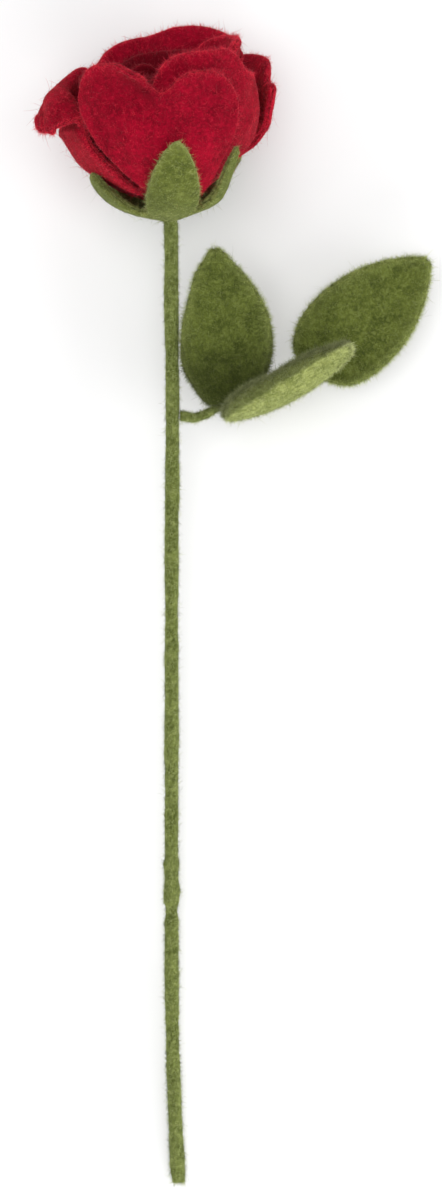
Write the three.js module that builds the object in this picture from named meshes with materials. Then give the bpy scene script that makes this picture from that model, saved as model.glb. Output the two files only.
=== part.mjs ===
// A felt rose on a wool-covered wire stem, lying on a table.
// Millimetres, +Z up. The stem runs along Y, with its foot at low Y and the flower at high Y.
// The rose lies on the petals under its head and on the foot of its stem.

import * as THREE from 'three';

// Clearance between pieces that touch
const GAP = 0.3;

// Felt thickness of each kind of piece
const PETAL_FELT = 3.0;
const LEAF_FELT = 3.4;
const CALYX_FELT = 3.0;

// Stem: the wire, the wool sleeves round it and the splice where one sleeve laps the other
const STEM_LENGTH = 377;
const STEM_DIAMETER = 5.3;
const STEM_WIRE = 2.0;
const WIRE_IN_BUD = 45;
const FOOT_WOOL = 4.0;
const FOOT_DIAMETER = 4.2;
const FOOT_TAPER = 7;
const SPLICE_FROM_FOOT = 111;
const LAP_LENGTH = 18;
const LAP_WOOL = 0.9;
const LAP_INNER_WOOL = 0.5;
const LUMP = 0.18;
const STEM_SWAY_TOP = -0.5;
const STEM_STEP = 9;
const STEM_SIDES = 10;
const WIRE_SIDES = 8;

// Twig: it leaves the stem sideways and droops a little to the end leaflet
const TWIG_BELOW_FLOWER = 78;
const TWIG_FROM_FOOT = STEM_LENGTH - TWIG_BELOW_FLOWER;
const TWIG_ROOT_DIAMETER = 3.5;
const TWIG_DIAMETER = 2.9;
const TWIG_WIRE = 1.2;
const TWIG_END_WOOL = 2.0;
const TWIG_REACH = 46.5;
const TWIG_CLIMB = 16.3;
const TWIG_DROP = 13;
const TWIG_STEP = 3.5;
const LEAF_NODE = 18;

// Leaflets: widest at LEAF_BELLY of the length, with a blunt base and tip
const LEAF_BELLY = 0.38;
const LEAF_BASE = 0.1;
const LEAF_TIP = 0.09;
const LEAF_CELLS = [8, 14];

// Calyx: one star of felt with five points round a hole for the wire. Its sepals are listed
// round the flower from the one that faces the viewer: front, right, two behind, left.
const CALYX_HOLE = 3.8;
const CALYX_GAP = 1.05;
const CALYX_SEAT = 1.3;
const CALYX_DISC = 16;
const CALYX_SAG = 5;
const SEPAL_COUNT = 5;
const SEPAL_AZIMUTH = [8, 43, 135, 210, 290];
const SEPAL_REACH = [57, 49, 41, 42, 33];
const SEPAL_DROOP = [0, -6, 10, 10, -22];
const SEPAL_HALF = 29;
const SEPAL_FULL = 1.7;
const CALYX_CELLS = [60, 5];

// Flower head: the cup that every petal follows, as distances along its section from the axis
const HEAD_TILT = 14.5;
const HEAD_LEAN = 5;
const HEAD_GIRTH = 1.04;
const HEAD_PRESSED = 0.88;
const CUP_FLOOR = 4;
const CUP_FLAT = 18;
const CUP_SLOPE = 20;
const CUP_RADIUS = 36;
const PETAL_HOLE = 2.4;
const PETAL_STEP = PETAL_FELT + 0.6;
const PETAL_SPREAD = 0.03;
const PETAL_CELLS = [14, 9];

// A petal's heart shape: the notch's width and the lobes' reach as shares of half the petal, and
// how far from the middle a petal goes from one layer to the next
const NOTCH_WIDTH = 0.22;
const LOBE_REACH = 0.5;
const LAYER_CHANGE = 0.7;

// Bud: the rolled strip in the middle of the flower
const BUD_TURNS = 1.75;
const BUD_LOOSE = 0.5;
const BUD_FLOOR = 28.3;
const BUD_TOP = 57;
const BUD_RIM_DROP = 5;
const BUD_RIM_WAVE = 1.2;
const BUD_TAPER = 0.88;
const BUD_CELLS = [36, 3];

const RED = { color: 0x9c0a20, roughness: 0.95, metalness: 0 };
const STEM_GREEN = { color: 0x7b8547, roughness: 0.95, metalness: 0 };
const LEAF_GREEN = { color: 0x5d6a2e, roughness: 0.95, metalness: 0 };
const STEEL = { color: 0x8a8c8e, roughness: 0.4, metalness: 1 };

const radians = THREE.MathUtils.degToRad;
const smooth = THREE.MathUtils.smoothstep;
const mix = THREE.MathUtils.lerp;

function mesh(name, geometry, finish) {
  const piece = new THREE.Mesh(geometry, new THREE.MeshStandardMaterial(finish));
  piece.name = name;
  return piece;
}

// A closed solid of felt. face(u, v, side) is the point of one face, with u and v from 0 to 1 and
// side -1 or +1. Where the sheet is a ring, u runs round it and its two ends are one.
function feltGeometry(face, cellsU, cellsV, ring = false) {
  const columns = ring ? cellsU : cellsU + 1;
  const points = [];
  for (const side of [-1, 1]) {
    for (let row = 0; row <= cellsV; row++) {
      for (let column = 0; column < columns; column++) {
        points.push(...face(column / cellsU, row / cellsV, side).toArray());
      }
    }
  }
  const faceSize = columns * (cellsV + 1);
  const at = (column, row, side) => side * faceSize + row * columns + (column % columns);
  const triangles = [];
  const quad = (a, b, c, d) => triangles.push(a, b, c, a, c, d);
  for (let row = 0; row < cellsV; row++) {
    for (let column = 0; column < cellsU; column++) {
      quad(at(column, row, 1), at(column + 1, row, 1), at(column + 1, row + 1, 1), at(column, row + 1, 1));
      quad(at(column, row, 0), at(column, row + 1, 0), at(column + 1, row + 1, 0), at(column + 1, row, 0));
    }
  }
  for (let column = 0; column < cellsU; column++) {
    quad(at(column, 0, 0), at(column + 1, 0, 0), at(column + 1, 0, 1), at(column, 0, 1));
    quad(at(column, cellsV, 1), at(column + 1, cellsV, 1), at(column + 1, cellsV, 0), at(column, cellsV, 0));
  }
  if (!ring) {
    for (let row = 0; row < cellsV; row++) {
      quad(at(0, row, 1), at(0, row + 1, 1), at(0, row + 1, 0), at(0, row, 0));
      quad(at(cellsU, row, 0), at(cellsU, row + 1, 0), at(cellsU, row + 1, 1), at(cellsU, row, 1));
    }
  }
  const geometry = new THREE.BufferGeometry();
  geometry.setAttribute('position', new THREE.Float32BufferAttribute(points, 3));
  geometry.setIndex(triangles);
  return faceOutward(geometry);
}

// The volume is positive when the faces point out. Where it is negative each triangle is turned.
function faceOutward(geometry) {
  const position = geometry.getAttribute('position');
  const index = geometry.getIndex();
  const [a, b, c] = [new THREE.Vector3(), new THREE.Vector3(), new THREE.Vector3()];
  let volume = 0;
  for (let i = 0; i < index.count; i += 3) {
    a.fromBufferAttribute(position, index.getX(i));
    b.fromBufferAttribute(position, index.getX(i + 1));
    c.fromBufferAttribute(position, index.getX(i + 2));
    volume += a.dot(b.cross(c));
  }
  if (volume < 0) {
    for (let i = 0; i < index.count; i += 3) {
      const second = index.getX(i + 1);
      index.setX(i + 1, index.getX(i + 2));
      index.setX(i + 2, second);
    }
  }
  return geometry;
}

// A lathe turned about a bent axis: a vertex at height y goes to that distance along the path.
function turnedAlong(path, profile, sides) {
  const length = path.getLength();
  const geometry = new THREE.LatheGeometry(profile, sides);
  const position = geometry.getAttribute('position');
  const up = new THREE.Vector3(0, 0, 1);
  for (let i = 0; i < position.count; i++) {
    const t = THREE.MathUtils.clamp(position.getY(i) / length, 0, 1);
    const along = path.getTangentAt(t);
    const across = new THREE.Vector3().crossVectors(along, up).normalize();
    const rise = new THREE.Vector3().crossVectors(across, along);
    const point = path.getPointAt(t);
    point.addScaledVector(across, position.getX(i));
    point.addScaledVector(rise, position.getZ(i));
    position.setXYZ(i, point.x, point.y, point.z);
  }
  return geometry;
}

// Points at even steps of about the given length, from one distance to another
function steps(from, to, step) {
  const count = Math.max(1, Math.round(Math.abs(to - from) / step));
  return Array.from({ length: count + 1 }, (unused, i) => mix(from, to, i / count));
}

const onAxis = (distance) => new THREE.Vector2(0, distance);

function wireProfile(from, to, diameter, step) {
  const wall = steps(from, to, step).map((s) => new THREE.Vector2(diameter / 2, s));
  return [onAxis(from), ...wall, onAxis(to)];
}

// The flower's frame: Z runs from the calyx to the opening, X to the right, -Y to the viewer.
const headTurn = new THREE.Euler(-radians(90 - HEAD_TILT), -radians(HEAD_LEAN), 0);

// How far the felt at this azimuth stands from the axis, against a round cup: it is pressed flat
// on the side that lies on the table. Azimuth 0 faces the viewer and 90 is right.
function girth(angle) {
  const pressed = HEAD_PRESSED / Math.max(-Math.cos(angle), 0.05);
  return (HEAD_GIRTH ** -8 + pressed ** -8) ** (-1 / 8);
}

// The cup's section: it rises at a low slope, bends upright, and a petal's rim curls out.
const CUP_BEND = CUP_RADIUS * radians(90 - CUP_SLOPE);
const CUP_UPRIGHT = CUP_FLAT + CUP_BEND;

function cupSlope(distance, sheet) {
  const turned = THREE.MathUtils.clamp((distance - CUP_FLAT) / CUP_BEND, 0, 1);
  const closing = smooth(distance, CUP_UPRIGHT - 10, CUP_UPRIGHT + 12);
  const curlFrom = sheet.length - sheet.lip;
  const curling = smooth(distance, curlFrom, curlFrom + sheet.turn);
  return radians(mix(CUP_SLOPE, 90, turned) + sheet.close * closing - sheet.curl * curling);
}

function cupSection(distance, lift, sheet) {
  const pieces = 24;
  const step = distance / pieces;
  let radius = 0;
  let height = CUP_FLOOR;
  for (let i = 0; i < pieces; i++) {
    const slope = cupSlope((i + 0.5) * step, sheet);
    radius += step * Math.cos(slope);
    height += step * Math.sin(slope);
  }
  const slope = cupSlope(distance, sheet);
  return [radius - lift * Math.sin(slope), height + lift * Math.cos(slope)];
}

// Where a sheet that is lifted off the cup starts, to leave a hole of this radius round the axis
function startDistance(hole, lift) {
  return (hole + lift * Math.sin(radians(CUP_SLOPE))) / Math.cos(radians(CUP_SLOPE));
}

function headPoint(radius, angle, height) {
  const reach = radius * girth(angle);
  return new THREE.Vector3(reach * Math.sin(angle), -reach * Math.cos(angle), height);
}

// A petal is a heart with its point at the bud: azimuth and width as degrees round the axis,
// length along the cup. under is how many felts lie outside its left and right edges.
function petalFace(petal) {
  return (u, v, side) => {
    const across = 2 * u - 1;
    const fromNotch = across - petal.notchAt;
    const lobe = fromNotch < 0 ? petal.leftLobe : petal.rightLobe;
    const notch = petal.notch * Math.exp(-((fromNotch / NOTCH_WIDTH) ** 2));
    const shoulder = petal.shoulder * Math.abs(across) ** petal.corner;
    const layer = mix(petal.under[0], petal.under[1], smooth(across, -LAYER_CHANGE, LAYER_CHANGE));
    const start = startDistance(PETAL_HOLE, layer * PETAL_STEP);
    const length = petal.length + lobe * smooth(Math.abs(fromNotch), 0, LOBE_REACH);
    const rim = length - notch - shoulder;
    const distance = mix(start, rim, v);
    const lift = layer * (PETAL_STEP + PETAL_SPREAD * Math.max(0, distance - start));
    const grown = smooth(distance, start, petal.grow * petal.length);
    const local = {
      close: petal.close,
      turn: petal.turn,
      length,
      lip: mix(...petal.lip, u),
      curl: mix(...petal.curl, u),
    };
    const width = mix(petal.baseWidth, petal.width, grown);
    const angle = radians(petal.azimuth + petal.skew * (grown - 1) + (across * width) / 2);
    const [radius, height] = cupSection(distance, lift + (side * PETAL_FELT) / 2, local);
    return headPoint(radius, angle, height);
  };
}

const plainPetal = {
  skew: 0, notch: 4, notchAt: 0, leftLobe: 0, rightLobe: 0, grow: 0.85, shoulder: 18,
  corner: 4, under: [0, 1], close: 12, curl: [50, 50], lip: [12, 12], turn: 12,
};

const petals = [
  { name: 'petal_outer_front', azimuth: -2, width: 106, baseWidth: 24, length: 83.5, skew: -16,
    grow: 1.1, notch: 9, notchAt: 0.06, leftLobe: 4, rightLobe: -1.5, shoulder: 15, corner: 6,
    under: [0, 0], curl: [35, 35], lip: [10, 10] },
  { name: 'petal_outer_right', azimuth: 47, width: 112, baseWidth: 84, length: 87, notch: 0.5,
    leftLobe: 1, rightLobe: -13, shoulder: 22, corner: 6, under: [1, 1], curl: [10, 10], close: 8 },
  { name: 'petal_outer_back_right', azimuth: 116, width: 92, baseWidth: 8, length: 74.3, skew: -28,
    grow: 1.1, notch: 8, notchAt: -0.36, leftLobe: -8, under: [0, 0], close: -16, curl: [20, 20] },
  { name: 'petal_outer_back_left', azimuth: 174, width: 103, baseWidth: 70, length: 84.5, notch: 0,
    notchAt: -0.2, rightLobe: -3, shoulder: 9, under: [1, 1], close: 2, curl: [30, 30] },
  { name: 'petal_outer_left', azimuth: -96, width: 84, baseWidth: 120, length: 72.5, notch: 2,
    rightLobe: 2, shoulder: 10, under: [0, 1], close: 31, curl: [118, 205], lip: [6, 14],
    turn: 4.8 },
  { name: 'petal_middle_1', azimuth: 38, width: 110, baseWidth: 84, length: 74, notch: 1,
    under: [3, 2], close: 2, curl: [10, 10] },
  { name: 'petal_middle_2', azimuth: 112, width: 106, baseWidth: 80, length: 79, notch: 0,
    under: [3, 2], close: -4, curl: [20, 20] },
  { name: 'petal_middle_3', azimuth: 173, width: 110, baseWidth: 76, length: 76.5, notch: 0,
    shoulder: 12, under: [3, 2], close: 8, curl: [20, 20] },
  { name: 'petal_middle_4', azimuth: 252, width: 110, baseWidth: 84, length: 76, under: [3, 2],
    curl: [20, 20] },
  { name: 'petal_middle_5', azimuth: 326, width: 110, baseWidth: 84, length: 77, under: [3, 2],
    curl: [10, 10] },
  { name: 'petal_inner_1', azimuth: 0, width: 170, baseWidth: 110, length: 77, under: [5, 4],
    close: 2, curl: [0, 0] },
  { name: 'petal_inner_2', azimuth: 120, width: 170, baseWidth: 110, length: 77, under: [5, 4],
    close: 2, curl: [0, 0] },
  { name: 'petal_inner_3', azimuth: 240, width: 170, baseWidth: 110, length: 79, under: [5, 4],
    close: 2, curl: [0, 0] },
].map((petal) => ({ ...plainPetal, ...petal }));

// The calyx is a star that follows the cup outside the petals and sags on the table side.
function calyxFace(u, v, side) {
  const turn = u * SEPAL_COUNT;
  const before = Math.floor(turn);
  const beyond = before + 1 < SEPAL_COUNT ? SEPAL_AZIMUTH[before + 1] : SEPAL_AZIMUTH[0] + 360;
  const angle = radians(mix(SEPAL_AZIMUTH[before], beyond, turn - before));
  const sepal = Math.round(turn) % SEPAL_COUNT;
  const halfGap = (beyond - SEPAL_AZIMUTH[before]) / 2;
  const towardNotch = 2 * Math.abs(turn - Math.round(turn)) * Math.max(1, halfGap / SEPAL_HALF);
  const lift = -(PETAL_FELT / 2 + CALYX_GAP + CALYX_FELT / 2);
  const start = startDistance(CALYX_HOLE / 2, lift);
  const reach = mix(SEPAL_REACH[sepal], CALYX_DISC, Math.min(1, towardNotch) ** SEPAL_FULL);
  const distance = mix(start, reach, v);
  const tip = SEPAL_REACH[sepal];
  const away = { close: plainPetal.close, length: tip, lip: 26, turn: 26, curl: SEPAL_DROOP[sepal] };
  const [radius, height] = cupSection(distance, lift + (side * CALYX_FELT) / 2, away);
  const hump = smooth(distance, 0, 12) * (1 - smooth(distance, 18, 36));
  const point = headPoint(radius, angle, height);
  point.z -= CALYX_SAG * hump * Math.max(0, -Math.cos(angle));
  return point;
}

// The bud is a strip of felt rolled up round the end of the stem wire.
function budFace(u, v, side) {
  const angle = u * BUD_TURNS * 2 * Math.PI;
  const core = STEM_WIRE / 2 + GAP;
  const strip = PETAL_FELT / 2 + u * BUD_TURNS * (PETAL_FELT + BUD_LOOSE) + (side * PETAL_FELT) / 2;
  const radius = core + strip;
  const top = BUD_TOP - BUD_RIM_DROP * u + BUD_RIM_WAVE * Math.sin(1.6 * angle);
  const height = mix(BUD_FLOOR + radius * Math.tan(radians(CUP_SLOPE)), top, v);
  const narrowed = core + strip * mix(1, BUD_TAPER, v);
  return new THREE.Vector3(narrowed * Math.sin(angle), -narrowed * Math.cos(angle), height);
}

const head = new THREE.Group();
head.name = 'head';
head.rotation.copy(headTurn);
for (const petal of petals) {
  const geometry = feltGeometry(petalFace(petal), ...PETAL_CELLS);
  head.add(mesh(petal.name, geometry, RED));
}
head.add(mesh('bud_core', feltGeometry(budFace, ...BUD_CELLS), RED));
head.add(mesh('calyx_star', feltGeometry(calyxFace, ...CALYX_CELLS, true), LEAF_GREEN));

// The head lies on the table: its lowest petal sets how high the end of the stem is.
head.updateMatrixWorld(true);
const lowest = new THREE.Box3().setFromObject(head, true).min.z;
const neckHeight = -lowest;
head.position.set(STEM_SWAY_TOP, STEM_LENGTH, neckHeight);

// Stem: it rises from the table at its foot to the neck, with a gentle sway to the right below.
const footHeight = FOOT_DIAMETER / 2;
const stemRise = (y) => mix(footHeight, neckHeight, y / STEM_LENGTH);
const stemPoint = (x, y) => new THREE.Vector3(x, y, stemRise(y));
const headAxis = new THREE.Vector3(0, 0, 1).applyEuler(headTurn);
const insideHead = (height) => head.position.clone().addScaledVector(headAxis, height);
const stemRoute = new THREE.CatmullRomCurve3([
  stemPoint(2.7, 0),
  stemPoint(1.4, 22),
  stemPoint(0, 62),
  stemPoint(-0.2, 150),
  stemPoint(-0.1, 250),
  stemPoint(0.2, 300),
  stemPoint(-0.2, 345),
  head.position.clone(),
  insideHead(16),
  insideHead(34),
  insideHead(WIRE_IN_BUD),
], false, 'centripetal');
stemRoute.arcLengthDivisions = 400;

// Distance along the route of the point that lies at this height from the foot
function routeDistance(y) {
  const lengths = stemRoute.getLengths();
  const samples = lengths.length - 1;
  let i = 0;
  while (i < samples && stemRoute.getPoint(i / samples).y < y) i += 1;
  return lengths[i];
}

const NECK = routeDistance(STEM_LENGTH);
const sleeveTop = NECK - (CALYX_SEAT + GAP);
const lump = (s) => LUMP * (Math.sin(s / 5.3) + Math.sin(s / 13.7 + 1)) * 0.5;
const stemRadius = (s) => STEM_DIAMETER / 2 + lump(s);
const stemBore = STEM_WIRE / 2 + GAP;

// The lower sleeve's mouth swells in two lobes and laps over the tapered end of the upper one.
const lapEnd = SPLICE_FROM_FOOT + LAP_LENGTH;
const lapTaper = stemBore + LAP_INNER_WOOL;
function lowerSleeve() {
  const outer = steps(0, lapEnd, STEM_STEP / 2).map((s) => {
    const taper = mix(FOOT_DIAMETER / 2, STEM_DIAMETER / 2, smooth(s, 0, FOOT_TAPER));
    const lobes = Math.abs(Math.sin((2 * Math.PI * (s - SPLICE_FROM_FOOT + 2)) / (LAP_LENGTH + 4)));
    const swell = s > SPLICE_FROM_FOOT - 2 ? LAP_WOOL * lobes ** 0.6 : 0;
    return new THREE.Vector2(taper + lump(s) * smooth(s, 0, FOOT_TAPER) + swell, s);
  });
  const mouth = steps(lapEnd, SPLICE_FROM_FOOT, STEM_STEP).map((s) => {
    return new THREE.Vector2(lapTaper + GAP, s);
  });
  const bore = steps(SPLICE_FROM_FOOT, FOOT_WOOL, STEM_STEP).map((s) => new THREE.Vector2(stemBore, s));
  return [onAxis(0), ...outer, ...mouth, ...bore, onAxis(FOOT_WOOL)];
}

function upperSleeve() {
  const from = SPLICE_FROM_FOOT + GAP;
  const shoulder = lapEnd + GAP;
  const outer = steps(shoulder, sleeveTop, STEM_STEP).map((s) => new THREE.Vector2(stemRadius(s), s));
  const neck = steps(from, shoulder, STEM_STEP).map((s) => new THREE.Vector2(lapTaper, s));
  const bore = steps(sleeveTop, from, STEM_STEP).map((s) => new THREE.Vector2(stemBore, s));
  return [...neck, ...outer, ...bore, neck[0].clone()];
}

const stem = new THREE.Group();
const wireFrom = FOOT_WOOL + GAP;
const wireTo = stemRoute.getLength();
const stemWire = wireProfile(wireFrom, wireTo, STEM_WIRE, STEM_STEP);
stem.add(mesh('stem_wire', turnedAlong(stemRoute, stemWire, WIRE_SIDES), STEEL));
stem.add(mesh('stem_sleeve_lower', turnedAlong(stemRoute, lowerSleeve(), STEM_SIDES), STEM_GREEN));
stem.add(mesh('stem_sleeve_upper', turnedAlong(stemRoute, upperSleeve(), STEM_SIDES), STEM_GREEN));

// Twig: a round root beside the stem, then a slim wool-covered wire to the end leaflet. Its
// group turns about the centre of the round root.
const twig = new THREE.Group();
twig.name = 'twig';
const rootRadius = TWIG_ROOT_DIAMETER / 2;
const tipRadius = TWIG_DIAMETER / 2;
const twigBore = TWIG_WIRE / 2 + GAP;
const besideStem = STEM_DIAMETER / 2 + LUMP + GAP + rootRadius;
const stemAtTwig = stemRoute.getPointAt(routeDistance(TWIG_FROM_FOOT) / stemRoute.getLength());
twig.position.copy(stemAtTwig).add(new THREE.Vector3(besideStem, 0, 0));
const twigEnd = new THREE.Vector3(TWIG_REACH, TWIG_CLIMB, -TWIG_DROP);
const twigRoute = new THREE.CatmullRomCurve3([
  new THREE.Vector3(-rootRadius, 0, 0),
  new THREE.Vector3(0, 0, 0),
  new THREE.Vector3(3, 0, -0.3),
  new THREE.Vector3(8, 1.4, -1.2),
  new THREE.Vector3(14, 4.2, -3),
  new THREE.Vector3(30, 11.2, -8.5),
  twigEnd,
  twigEnd.clone().add(new THREE.Vector3(16, 5, -4).setLength(tipRadius)),
], false, 'centripetal');
const twigLength = twigRoute.getLength();

// The wool is open toward the stem, where its wire comes from, and closed and round at the tip.
function twigProfile() {
  const endCentre = twigLength - tipRadius;
  const boreEnd = twigLength - TWIG_END_WOOL;
  const rootMouth = rootRadius - Math.sqrt(rootRadius ** 2 - twigBore ** 2);
  const bore = steps(boreEnd, rootMouth, TWIG_STEP).map((s) => new THREE.Vector2(twigBore, s));
  const rootRound = [40, 20].map((degrees) => {
    const a = radians(degrees);
    return new THREE.Vector2(rootRadius * Math.cos(a), rootRadius * (1 - Math.sin(a)));
  });
  const side = steps(rootRadius, endCentre, TWIG_STEP).map((s) => {
    return new THREE.Vector2(mix(rootRadius, tipRadius, smooth(s, 2, 16)), s);
  });
  const tipRound = [30, 60].map((degrees) => {
    const a = radians(degrees);
    return new THREE.Vector2(tipRadius * Math.cos(a), endCentre + tipRadius * Math.sin(a));
  });
  return [onAxis(boreEnd), ...bore, ...rootRound, ...side, ...tipRound, onAxis(twigLength)];
}

const twigWire = wireProfile(GAP, twigLength - TWIG_END_WOOL - GAP, TWIG_WIRE, TWIG_STEP);
twig.add(mesh('twig_sleeve', turnedAlong(twigRoute, twigProfile(), STEM_SIDES), STEM_GREEN));
twig.add(mesh('twig_wire', turnedAlong(twigRoute, twigWire, WIRE_SIDES), STEEL));

// Share of the full width at this share of a leaflet's length
function leafOutline(t, blunt) {
  if (t < LEAF_BELLY) {
    const x = (LEAF_BELLY - t) / LEAF_BELLY;
    return mix(LEAF_BASE, 1, (1 - x ** 2.2) ** (1 / 2.2));
  }
  const x = Math.min(1, (t - LEAF_BELLY) / (1 - LEAF_BELLY));
  return mix(LEAF_TIP, 1, (1 - x ** blunt) ** (2 / blunt));
}

// A leaflet lies along +Y from its base, hollow on its +Z side. It is rolled about its midrib
// with the radius cup, and then bent along its length with the radius bend. sway is how far its
// middle lies to the right of a straight line.
function leafFace(leaf) {
  return (u, v, side) => {
    const t = 0.5 - 0.5 * Math.cos(Math.PI * v);
    const half = (leaf.width / 2) * leafOutline(t, leaf.blunt);
    const sideways = half * (2 * u - 1) + leaf.sway * 4 * t * (1 - t);
    const around = sideways / leaf.cup;
    const shell = leaf.cup - (side * LEAF_FELT) / 2;
    const x = shell * Math.sin(around);
    const z = leaf.cup - shell * Math.cos(around);
    const along = (t * leaf.length) / leaf.bend;
    const reach = leaf.bend - z;
    return new THREE.Vector3(x, reach * Math.sin(along), leaf.bend - reach * Math.cos(along));
  };
}

// Where a leaflet is: hinge is its pivot from the twig's own, seat is its base from the hinge.
// heading is its direction on the table from +X, rise its climb, roll its turn about the midrib.
const leafNode = twigRoute.getPointAt(LEAF_NODE / twigLength);
const leaves = [
  { name: 'leaf_upper', length: 61, width: 36, hinge: leafNode, seat: [-1, -0.4, 3.9],
    heading: 94, rise: 2, roll: -3, sway: 4.5, cup: 60, bend: 400, blunt: 2.1 },
  { name: 'leaf_end', length: 64, width: 37.5, hinge: twigEnd, seat: [1.4, 1.3, -0.3],
    heading: 43, rise: 2, roll: 3, sway: 0, cup: 70, bend: 500, blunt: 2.1 },
  { name: 'leaf_lower', length: 57, width: 36, hinge: leafNode, seat: [1.6, -4.7, 0],
    heading: 8, rise: 18, roll: -100, sway: 0, cup: 25, bend: 75, blunt: 3 },
];
for (const leaf of leaves) {
  const hinge = new THREE.Group();
  hinge.name = leaf.name + '_hinge';
  hinge.position.copy(leaf.hinge);
  const piece = mesh(leaf.name, feltGeometry(leafFace(leaf), ...LEAF_CELLS), LEAF_GREEN);
  piece.position.set(...leaf.seat);
  piece.rotation.set(radians(leaf.rise), radians(leaf.roll), radians(leaf.heading - 90), 'ZXY');
  hinge.add(piece);
  twig.add(hinge);
}

// The rose is placed with the middle of its box at the origin and its lowest point at z = 0.
const rose = new THREE.Group();
rose.add(stem, head, twig);
rose.updateMatrixWorld(true);
const box = new THREE.Box3().setFromObject(rose, true);
rose.position.set(-(box.min.x + box.max.x) / 2, -(box.min.y + box.max.y) / 2, -box.min.z);

export default rose;
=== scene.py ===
from math import cos, pi, radians, sin, sqrt, tan

import bpy
import numpy as np
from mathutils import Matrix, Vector


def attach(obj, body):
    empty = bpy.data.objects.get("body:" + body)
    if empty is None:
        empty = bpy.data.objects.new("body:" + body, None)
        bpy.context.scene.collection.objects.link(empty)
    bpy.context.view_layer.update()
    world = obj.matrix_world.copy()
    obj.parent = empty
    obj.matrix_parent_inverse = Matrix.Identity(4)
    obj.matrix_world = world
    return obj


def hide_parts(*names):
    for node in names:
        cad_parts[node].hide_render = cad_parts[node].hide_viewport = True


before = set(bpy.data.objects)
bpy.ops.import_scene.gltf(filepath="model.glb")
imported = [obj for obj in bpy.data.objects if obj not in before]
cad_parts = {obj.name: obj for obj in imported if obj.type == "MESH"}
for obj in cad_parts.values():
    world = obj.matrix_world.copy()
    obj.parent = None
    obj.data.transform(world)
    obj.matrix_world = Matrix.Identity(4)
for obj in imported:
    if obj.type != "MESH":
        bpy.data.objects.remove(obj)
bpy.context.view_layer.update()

# A felt rose that lies on a pale table, seen from above. Each sheet of felt and each wool sleeve of the CAD model
# gets a denser mesh in its place, with loose fibres on it. Lengths are in millimetres and angles in degrees where
# nothing else is said, and MM turns millimetres into metres.
MM = 0.001

# Sizes as the solids have them. SPLICE is where the lower sleeve's mouth starts, and LAP how far it goes over the
# upper one. The twig is a little thicker than the solid, after the photograph.
ROSE_AT = np.array([-22.3631, -226.2148, 0.0])
NECK_HEIGHT = 27.9689
PETAL_FELT = 3.0
LEAF_FELT = 3.4
CALYX_FELT = 3.0
STEM_LENGTH = 377.0
STEM_DIAMETER = 5.3
STEM_WIRE = 2.0
FOOT_DIAMETER = 4.2
SPLICE = 111.0
LAP = 18.0
SWAY_TOP = -0.5
TWIG_ROOT_DIAMETER = 3.9
TWIG_DIAMETER = 3.3

# The flower head's cup. Its section starts at the head's axis and is measured along the felt: a floor that rises
# by CUP_SLOPE up to CUP_FLAT, a bend of CUP_RADIUS up to CUP_UPRIGHT, then a wall.
HEAD_TILT = 14.5
HEAD_LEAN = 5.0
HEAD_GIRTH = 1.04
HEAD_PRESSED = 0.88
CUP_FLOOR = 4.0
CUP_FLAT = 18.0
CUP_SLOPE = 20.0
CUP_RADIUS = 36.0
CUP_BEND = CUP_RADIUS * radians(90 - CUP_SLOPE)
CUP_UPRIGHT = CUP_FLAT + CUP_BEND
CLOSING = (CUP_UPRIGHT - 10, CUP_UPRIGHT + 12)
SECTION_STEPS = 24
PETAL_HOLE = 2.4
PETAL_STEP = PETAL_FELT + 0.6
PETAL_SPREAD = 0.03
NOTCH_WIDTH = 0.22
LOBE_REACH = 0.5
LAYER_CHANGE = 0.7

# Uneven felt: each swell's size, seed and height, and how far along a petal they begin and are full
SWELLS = ((16, 5, 0.6), (7, 6, 0.2))
SWELL_FROM = (22, 50)

# The calyx. A sepal points to each azimuth, 0 towards the viewer and 90 to the right.
CALYX_HOLE = 3.8
CALYX_GAP = 1.05
CALYX_DISC = 16.0
CALYX_SAG = 5.0
SEPAL_AZIMUTH = [8, 45, 135, 210, 290]
SEPAL_REACH = [57, 49, 41, 42, 33]
SEPAL_DROOP = [0, -8, 10, 10, -32]
SEPAL_HALF = [29, 11, 29, 29, 29]
SEPAL_FULL = 1.7
SEPAL_LIP = 26
SEPALS = len(SEPAL_AZIMUTH)

# The rolled bud
BUD_TURNS = 1.75
BUD_LOOSE = 0.5
BUD_FLOOR = 28.3
BUD_TOP = 57.0
BUD_RIM_DROP = 5.0
BUD_RIM_WAVE = 1.2
BUD_TAPER = 0.88

# The petals. azimuth, width and base_width are degrees round the head, and skew turns the base back against the
# rim. The width is full at the share grow of length. notch is how deep the rim's notch is and notch_at where,
# from -1 to 1 across. The lobes lengthen the rim beside it, and shoulder rounds its ends by a power, corner.
# under has the layers of felt under the left and the right edge. close leans the wall inwards. Each end's curl
# bends the rim outwards within turn, from lip before the rim, and follow has that fold follow the shoulders. A
# roll is (across, size, more curl, more length), a dent (across, v, size across, size in v, depth), a pull (x, y,
# reach, move in x, move in y) and a shade, which is painted shade, (x, y, reach in x, reach in y, strength).
PLAIN_PETAL = dict(
    skew=0, base_width=60, notch=4, notch_at=0, left_lobe=0, right_lobe=0, grow=0.85, shoulder=18, corner=4,
    under=(0, 1), close=12, curl=(50, 50), lip=(12, 12), turn=12,
)
MIDDLE_PETAL = dict(PLAIN_PETAL, width=110, base_width=84, under=(3, 2), curl=(20, 20))
INNER_PETAL = dict(PLAIN_PETAL, width=170, base_width=110, length=77, under=(5, 4), close=2, curl=(0, 0))
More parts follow.
